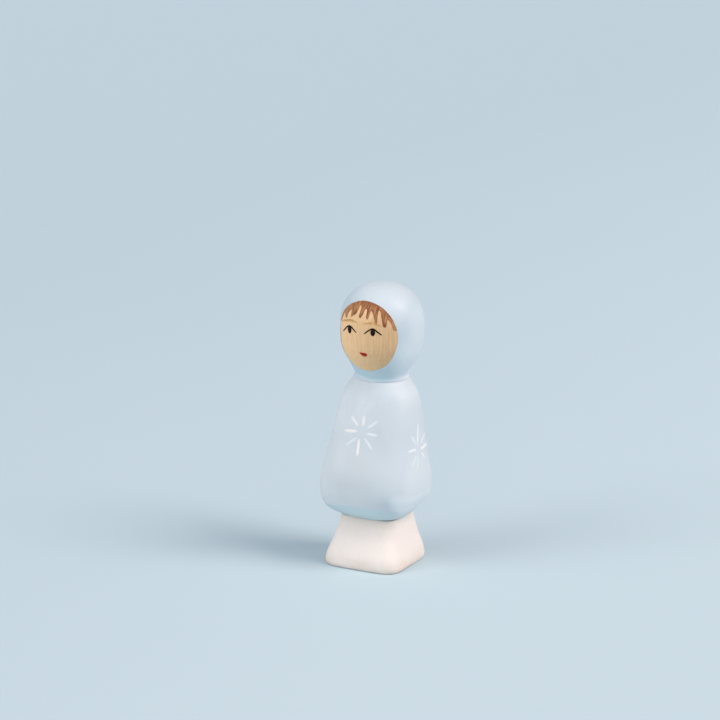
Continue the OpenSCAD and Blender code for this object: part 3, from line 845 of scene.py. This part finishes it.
def planed_wood(name, light, dark, fleck):
    """Close-grained pale hardwood, waxed: soft upright bands with short, fine, darker flecks, and painted
    shade that makes it paler towards the figure's right and darker towards its left."""
    material, tree, shader, place, bands, flecks = start_material(name, (WOOD_BANDS, fleck), IOR=WOOD_IOR)
    across = add(tree, "SeparateXYZ", {0: place}, out="X")
    warm = [(bands, 0.4, 0.65, 0, 0.35, EVEN)]
    marks = [(flecks, 0.55, 0.75, 0, 0.3, EVEN)]
    # Painted shade across the wood: paler at the figure's right, darker at its left
    side_shade = [(across, -9 * MM, 9 * MM, -0.3, 0.7, EVEN)]
    late = [(gather(tree, (warm, marks, side_shade), "ADD"), 0, 1, 0, 1, EVEN)]
    shade = paint_over(tree, tone(light), [(dark, late)])
    rough = add(tree, "MapRange", {"Value": bands, "From Min": 0.3, "From Max": 0.7,
                                   "To Min": 0.5, "To Max": 0.62})
    return finish_material(material, shader, shade, (flecks, 0.25, 0.05), rough)


def brush_mark(name, full, thin, hairs, low, high, roughness):
    """A mark of thin paint or stain: full where the brush was wet, thin where it ran dry along the hairs."""
    material, tree, shader, _, streaks = start_material(name, [hairs], Roughness=roughness,
                                                        Specular_IOR_Level=STAIN_GLOSS)
    shade = paint_over(tree, tone(full), [(thin, [(streaks, low, high, 0, 1, EVEN)])])
    return finish_material(material, shader, shade, (streaks, 0.3, 0.04))


def hair_stain():
    """Brown stain brushed on bare wood for the fringe: streaks along the locks, darker under the hood's edge,
    at the tips and in one heavy lock, and thinner in the first locks and the last."""
    material, tree, shader, _ = start_material("brown_stain_on_wood", (), Roughness=0.6,
                                               Specular_IOR_Level=STAIN_GLOSS)
    along, rise = (add(tree, "Attribute", out="Fac", attribute_name=word) for word in ("along", "rise"))
    strand = add(tree, "Math", {0: along, 1: STRANDS}, operation="MULTIPLY")
    strand = add(tree, "CombineXYZ", {"X": strand, "Y": rise})
    hairs = add(tree, "TexNoise", {"Vector": strand, "Scale": 1, "Detail": 3, "Roughness": 0.6})
    from_lock = add(tree, "Math", {0: along, 1: HEAVY_LOCK}, operation="SUBTRACT")
    from_lock = add(tree, "Math", {0: from_lock}, operation="ABSOLUTE")
    roots = [(rise, 0.45, 1, 0, -0.1, EVEN)]
    tips = [(rise, 0, 0.35, -0.09, 0, EVEN)]
    first = [(along, 0, 0.35, 0.25, 0, EVEN)]
    last = [(along, 0.89, 1, 0, 0.25, EVEN)]
    heavy = [(from_lock, 0.02, 0.05, -0.15, 0, EVEN), (rise, 0.25, 0.6, 1, 0, EVEN)]
    dryness = gather(tree, (roots, tips, first, last, heavy), "ADD")
    dryness = add(tree, "Math", {0: hairs, 1: dryness}, operation="ADD")
    shade = paint_over(tree, tone("hair_dark"), [("hair_light", [(dryness, 0.38, 0.58, 0, 1, EVEN)])])
    return finish_material(material, shader, shade, (hairs, 0.3, 0.04))


def snow_paint():
    """White water paint of the rays: warm or cool as the stroke's own warmth says, and where its load is thin
    the coat's blue comes through, along the brush hairs."""
    material, tree, shader, _, hairs = start_material(
        "white_brushed_rays", [SNOW_HAIRS], IOR=PAINT_IOR, Roughness=0.5)
    load, warmth = (add(tree, "Attribute", out="Fac", attribute_name=word) for word in ("load", "warmth"))
    body = gather(tree, [[(load, 0, 1, 0, 1, EVEN), (hairs, 0.3, 0.55, 0.65, 1, EVEN)]], "MAXIMUM")
    shade = paint_over(tree, tone("snow_cool"), [
        ("snow_warm", [(warmth, 0, 1, 0, 1, EVEN)]), ("coat_blue", [(body, 0, 0.8, 1, 0, EVEN)])])
    return finish_material(material, shader, shade, (hairs, 0.3, 0.04))


def sweep_paper(way):
    """Matt pale blue background paper, faintly cloudy, with painted shade that darkens it towards the
    picture's back and left.
    """
    material, tree, shader, place, clouds = start_material(
        "matt_background_paper", [PAPER_CLOUDS], IOR=PAPER_IOR, Roughness=0.9)
    forward = add(tree, "VectorMath", {0: place, 1: way}, out="Value", operation="DOT_PRODUCT")
    forward = add(tree, "Math", {0: clouds, 1: PAPER_WANDER, 2: forward}, operation="MULTIPLY_ADD")
    # Painted shade on the paper: darker towards the back and left
    near = [(forward, -420 * MM, 180 * MM, 0, 1, EVEN)]
    return finish_material(material, shader, paint_over(tree, tone("paper_far"), [("paper_near", near)]))


# Operators

class DOLL_OT_base(bpy.types.Operator):
    """Carve the flared base with its bore"""
    bl_idname = "doll.carve_base"
    bl_label = "Carve base"

    def execute(self, context):
        rings = rings_of("base")
        for k, inset in enumerate(BROKEN_EDGE):
            height, shift, half_w, front, back, corner = rings[k]
            rings[k] = (height, shift, half_w - inset, front + inset, back - inset, corner)
        block = raise_block("base_block", rings)
        soften(block)
        drill(block, "hem_dowel", HEM_Z, up=False)
        dress(block, "base", worn_white())
        return {"FINISHED"}


class DOLL_OT_coat(bpy.types.Operator):
    """Carve the coat with its turned-in hem, its collar and both bores"""
    bl_idname = "doll.carve_coat"
    bl_label = "Carve coat"

    def execute(self, context):
        rings = rings_of("coat")
        rings[-1] = (NECK_Z, *rings_of("head")[0][1:5], rings[-1][5])
        block = raise_block("coat_block", rings)
        soften(block)
        drill(block, "hem_dowel", HEM_Z, up=True)
        drill(block, "neck_dowel", NECK_Z, up=False)
        dress(block, "coat", coat_paint())
        return {"FINISHED"}


class DOLL_OT_head(bpy.types.Operator):
    """Turn the head and neck with the bore"""
    bl_idname = "doll.turn_head"
    bl_label = "Turn head"

    def execute(self, context):
        head = turn_form("head_block", filled=True)
        drill(head, "neck_dowel", NECK_Z, up=True)
        wood = planed_wood("waxed_limewood", "wood_light", "wood_dark", LIME_FLECKS)
        dress(head, "head", wood)
        return {"FINISHED"}


class DOLL_OT_hood(bpy.types.Operator):
    """Lay the hood's paint on the head and leave the face open"""
    bl_idname = "doll.paint_hood"
    bl_label = "Paint hood"

    def execute(self, context):
        hood = turn_form("hood_paint", filled=False)
        body = hood.vertex_groups.new(name="body")
        for vertex in hood.data.vertices:
            body.add([vertex.index], self.cover(vertex.co), "REPLACE")
        modify(hood, "SOLIDIFY", thickness=settings().face.hood_t, offset=1, vertex_group=body.name,
               thickness_vertex_group=HOOD_EDGE)
        combine(hood, self.stencil(), "DIFFERENCE")
        dress(hood, "hood", hood_paint())
        return {"FINISHED"}

    def cover(self, place):
        """Share of the paint's thickness at a place: thin on the neck's foot and at the opening's edge."""
        face = settings().face
        facing = Matrix.Rotation(face.look, 3, "Z") @ (place - Vector((0, HEAD_Y, NECK_Z + face.opening_h)))
        away = math.hypot(facing.x / face.opening_half_w, facing.z / face.opening_half_h)
        rim = 1 if facing.y > 0 else (away - 1) / RIM_REACH
        return max(0, min(1, rim, (place.z - NECK_Z) / FOOT_REACH))

    def stencil(self):
        """A solid as wide and high as the face opening that reaches from the head's axis past the front."""
        hold()
        bpy.ops.mesh.primitive_circle_add(vertices=STENCIL_SIDES, radius=1, fill_type="NGON",
                                          rotation=UPRIGHT)
        stencil = name_new("stencil")
        edit(stencil)
        places = {}
        for vertex in bmesh.from_edit_mesh(stencil.data).verts:
            x, z = opening(math.atan2(vertex.co.z, vertex.co.x))
            places[vertex.index] = (x, HEAD_Y, z)
        pull(stencil, places)
        bpy.ops.mesh.select_all(action="SELECT")
        bpy.ops.mesh.extrude_region_move(TRANSFORM_OT_translate={"value": (0, -DRAWN_AWAY, 0)})
        close_up(stencil)
        turn_face(stencil)
        return stencil


class DOLL_OT_fringe(bpy.types.Operator):
    """Brush the fringe under the hood's edge"""
    bl_idname = "doll.brush_fringe"
    bl_label = "Brush fringe"

    def execute(self, context):
        face = settings().face
        lower = above_neck(FRINGE_EDGE)
        turns = [math.atan2((z - NECK_Z - face.opening_h) / face.opening_half_h, x / face.opening_half_w)
                 for x, z in lower]
        upper = []
        for first, last in zip(FRINGE_GAPS, FRINGE_GAPS[1:]):
            for k in range(first, last):
                turn = turns[first] + (turns[last] - turns[first]) * (k - first) / (last - first)
                upper.append(opening(turn))
        upper.append(opening(turns[-1]))
        fringe = flat_mark("fringe_hair", upper, lower, 2, FRINGE_ROWS)
        lay_on_face(fringe)
        dress(fringe, "fringe", hair_stain())
        return {"FINISHED"}


class DOLL_OT_eyes(bpy.types.Operator):
    """Draw each eye as one lid stroke with the pupil hanging from it"""
    bl_idname = "doll.draw_eyes"
    bl_label = "Draw eyes"

    def execute(self, context):
        paint = brush_mark("black_eye_paint", "eye_black", "eye_brown", EYE_HAIRS, 0.55, 0.85, 0.4)
        eyes = (("right_eye", RIGHT_LID, RIGHT_PUPIL), ("left_eye", LEFT_LID, LEFT_PUPIL))
        for node, points, drop in eyes:
            lid = stroke(node + "_paint", points, settings().face.lid_stroke, LID_ENDS)
            pupil = self.pupil(*drop)
            lay_on_face(lid)
            lay_on_face(pupil)
            combine(lid, pupil, "UNION")
            dress(lid, node, paint)
        return {"FINISHED"}

    def pupil(self, across, up, half_w, half_h):
        """An upright drop, narrower below, from its middle and half sizes in millimetres."""
        centre = Vector((across * MM, -DRAWN_AWAY, NECK_Z + up * MM))
        hold()
        bpy.ops.mesh.primitive_circle_add(vertices=PUPIL_SIDES, radius=1, fill_type="NGON",
                                          rotation=UPRIGHT, location=centre)
        drop = name_new("pupil")
        edit(drop)
        bpy.ops.transform.resize(value=(half_w * MM, 1, half_h * MM), center_override=centre)
        places = {}
        for vertex in bmesh.from_edit_mesh(drop.data).verts:
            below = max(0, (centre.z - vertex.co.z) / (half_h * MM))
            narrow = 1 - DROP_POINT * below
            places[vertex.index] = (centre.x + (vertex.co.x - centre.x) * narrow, vertex.co.y, vertex.co.z)
        pull(drop, places)
        bpy.ops.mesh.select_all(action="SELECT")
        for share in PUPIL_INSETS:
            bpy.ops.mesh.inset(thickness=share * half_w * MM)
        hold(drop)
        return drop


class DOLL_OT_brows(bpy.types.Operator):
    """Draw the two faint brows"""
    bl_idname = "doll.draw_brows"
    bl_label = "Draw brows"

    def execute(self, context):
        stain = brush_mark("tan_brow_stain", "brow_tan", "wood_light", BROW_HAIRS, 0.4, 0.8, 0.6)
        for node, points in (("right_brow", RIGHT_BROW), ("left_brow", LEFT_BROW)):
            brow = stroke(node + "_stain", points, settings().face.brow_stroke, BROW_ENDS)
            lay_on_face(brow)
            dress(brow, node, stain)
        return {"FINISHED"}


class DOLL_OT_mouth(bpy.types.Operator):
    """Draw the mouth, pointed at one end and full at the other"""
    bl_idname = "doll.draw_mouth"
    bl_label = "Draw mouth"

    def execute(self, context):
        mouth = flat_mark("mouth_paint", above_neck(MOUTH_TOP), above_neck(MOUTH_LOW), 2)
        lay_on_face(mouth)
        paint = brush_mark("red_lip_paint", "lip_red", "lip_light", LIP_HAIRS, 0.5, 0.8, 0.4)
        dress(mouth, "mouth", paint)
        return {"FINISHED"}


class DOLL_OT_snowflakes(bpy.types.Operator):
    """Brush an eight-rayed snowflake on each side of the coat"""
    bl_idname = "doll.draw_snowflakes"
    bl_label = "Draw snowflakes"

    def execute(self, context):
        snow = settings().snow
        ray = self.ray()
        paint = snow_paint()
        stars = (("front_snowflake", FRONT, FRONT_RAYS, 0), ("left_snowflake", LEFT, SIDE_RAYS, 0),
                 ("back_snowflake", BACK, FRONT_RAYS, 0),
                 ("right_snowflake", RIGHT, FRONT_RAYS, -snow.side_drop))
        for node, side, rays, up in stars:
            copies = []
            for inner, outer, load, warmth in rays:
                ends = [Vector((x * MM, HEM_Z + up + h * MM)) for x, h in (inner, outer)]
                copies.append(self.place(ray, ends, load, warmth))
                lay_on(copies[-1], bpy.data.objects["coat_block"], side, snow.ray_t)
            hold(*copies)
            bpy.ops.object.join()
            star = bpy.context.object
            star.name = star.data.name = node + "_paint"
            dress(star, node, paint)
        put_away(ray)
        return {"FINISHED"}

    def ray(self):
        """One ray of unit length and width with rounded ends, to be copied."""
        steps = [k / RAY_STEPS for k in range(RAY_STEPS + 1)]
        half = [0.5 * (1 - RAY_TAPER * abs(2 * t - 1) ** 3) for t in steps]
        upper = list(zip(steps, half))
        lower = [(t, -h) for t, h in upper]
        return flat_mark("ray", upper, lower, 1)

    def place(self, ray, ends, load, warmth):
        """A copy of the ray between two ends, wider and with more paint where the load is full."""
        snow = settings().snow
        hold(ray)
        bpy.ops.object.duplicate()
        copy = bpy.context.object
        line = ends[1] - ends[0]
        copy.scale = (line.length, 1, snow.thin_w + (snow.full_w - snow.thin_w) * load)
        copy.rotation_euler = (0, -math.atan2(line.y, line.x), 0)
        copy.location = (ends[0].x, 0, ends[0].y)
        loads = [load * (1 - RAY_FADE * abs(2 * v.co.x - 1) ** 3) for v in copy.data.vertices]
        settle()
        copy.data.attributes.new("load", "FLOAT", "POINT").data.foreach_set("value", loads)
        copy.data.attributes.new("warmth", "FLOAT", "POINT").data.foreach_set("value", [warmth] * len(loads))
        return copy


class DOLL_OT_dowels(bpy.types.Operator):
    """Give the frame's two dowels their wood"""
    bl_idname = "doll.finish_dowels"
    bl_label = "Finish dowels"

    def execute(self, context):
        beech = planed_wood("fluted_beech", "beech_light", "beech_dark", BEECH_FLECKS)
        for node in ("hem_dowel", "neck_dowel"):
            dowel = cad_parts[node]
            dowel.data.materials.clear()
            dowel.data.materials.append(beech)
        return {"FINISHED"}


class DOLL_OT_stage(bpy.types.Operator):
    """Set the paper sweep, the lamps and the camera"""
    bl_idname = "doll.set_stage"
    bl_label = "Set stage"

    def execute(self, context):
        stage = settings().stage
        side, rise = stage.camera_side, stage.camera_rise
        back = Vector((math.sin(side) * math.cos(rise), -math.cos(side) * math.cos(rise), math.sin(rise)))
        right = Vector((math.cos(side), math.sin(side), 0))
        near = Vector((math.sin(side), -math.cos(side), 0))
        self.sweep(stage, near + right * PAPER_TURN)
        self.lamps(stage, right, near)
        self.camera(stage, back, right)
        self.room(stage)
        context.scene.view_settings.view_transform = "Standard"
        return {"FINISHED"}

    def sweep(self, stage, way):
        """A wide sheet of paper that turns up softly all round, paler this way."""
        hold()
        reach = stage.floor_reach
        bpy.ops.mesh.primitive_circle_add(vertices=SWEEP_SIDES, radius=reach, fill_type="NGON")
        floor = name_new("paper_sweep")
        edit(floor)
        bpy.ops.mesh.inset(thickness=SWEEP_INSET * reach)
        edge = SWEEP_EDGE * reach
        pick(floor, {v.index for v in bmesh.from_edit_mesh(floor.data).verts if v.co.length > edge})
        for out, up in SWEEP_STEPS:
            bpy.ops.mesh.extrude_region_move()
            places = [v.co for v in bmesh.from_edit_mesh(floor.data).verts if v.select]
            grow = out * reach / Vector((places[0].x, places[0].y)).length
            bpy.ops.transform.resize(value=(grow, grow, 1), center_override=(0, 0, 0))
            bpy.ops.transform.translate(value=(0, 0, up * reach - places[0].z))
        hold(floor)
        bpy.ops.object.shade_smooth_by_angle(angle=SWEEP_ANGLE)
        floor.data.materials.append(sweep_paper(way))

    def lamps(self, stage, right, near):
        """Soft lights: a warm key at the right, a weak fill at the left and a wide one behind the camera."""
        up = Vector((0, 0, 1))
        for name, (across, forward, upward, spread, code) in LAMPS.items():
            way = right * across + near * forward + up * upward
            hold()
            turn = way.to_track_quat("Z", "Y").to_euler()
            bpy.ops.object.light_add(type="SUN", location=way, rotation=turn)
            lamp = bpy.context.object
            lamp.name = lamp.data.name = name + "_light"
            lamp.data.angle = math.radians(spread)
            lamp.data.energy = getattr(stage, name)
            lamp.data.color = linear(code)

    def camera(self, stage, back, right):
        """The photograph's view, without shift."""
        up = back.cross(right)
        lean = stage.camera_lean
        right, up = right * math.cos(lean) + up * math.sin(lean), up * math.cos(lean) - right * math.sin(lean)
        foot = Vector((0, -stage.foot_front, 0))
        eye = foot + back * stage.camera_away
        away = (eye - (foot - right * stage.aim_left + up * stage.aim_up)).normalized()
        across = up.cross(away).normalized()
        turn = Matrix((across, away.cross(across), away)).transposed()
        hold()
        bpy.ops.object.camera_add(location=eye, rotation=turn.to_euler())
        camera = bpy.context.object
        camera.name = camera.data.name = "camera"
        camera.data.sensor_width = SENSOR_W
        camera.data.lens = stage.lens
        camera.data.clip_end = FAR_CLIP
        bpy.context.scene.camera = camera

    def room(self, stage):
        """Even light from all round."""
        world = bpy.context.scene.world or bpy.data.worlds.new("room")
        bpy.context.scene.world = world
        world.use_nodes = True
        background = world.node_tree.nodes["Background"]
        background.inputs["Color"].default_value = (*linear(ROOM_COLOUR), 1)
        background.inputs["Strength"].default_value = stage.sky


OPERATORS = (DOLL_OT_base, DOLL_OT_coat, DOLL_OT_head, DOLL_OT_hood, DOLL_OT_fringe, DOLL_OT_eyes,
             DOLL_OT_brows, DOLL_OT_mouth, DOLL_OT_snowflakes, DOLL_OT_dowels, DOLL_OT_stage)


class DOLL_PT_panel(bpy.types.Panel):
    """Lists the sizes, the colours and the steps of the build"""
    bl_idname = "DOLL_PT_panel"
    bl_label = "Peg doll"
    bl_space_type = "VIEW_3D"
    bl_region_type = "UI"
    bl_category = "Peg doll"

    def draw(self, context):
        for group in ("blocks", "face", "snow", "colours", "stage"):
            values = getattr(context.scene.peg_doll, group)
            for name in values.__annotations__:
                self.layout.prop(values, name)
        for operator in OPERATORS:
            self.layout.operator(operator.bl_idname)


CLASSES = (DollBlocks, DollFace, DollSnow, DollColours, DollStage, DollProperties, *OPERATORS, DOLL_PT_panel)


def register():
    for item in CLASSES:
        bpy.utils.register_class(item)
    bpy.types.Scene.peg_doll = PointerProperty(type=DollProperties)


def unregister():
    del bpy.types.Scene.peg_doll
    for item in reversed(CLASSES):
        bpy.utils.unregister_class(item)


def main():
    register()
    bpy.ops.doll.carve_base()
    bpy.ops.doll.carve_coat()
    bpy.ops.doll.turn_head()
    bpy.ops.doll.paint_hood()
    bpy.ops.doll.brush_fringe()
    bpy.ops.doll.draw_eyes()
    bpy.ops.doll.draw_brows()
    bpy.ops.doll.draw_mouth()
    bpy.ops.doll.draw_snowflakes()
    bpy.ops.doll.finish_dowels()
    bpy.ops.doll.set_stage()
    hold()


if __name__ == "__main__":
    main()
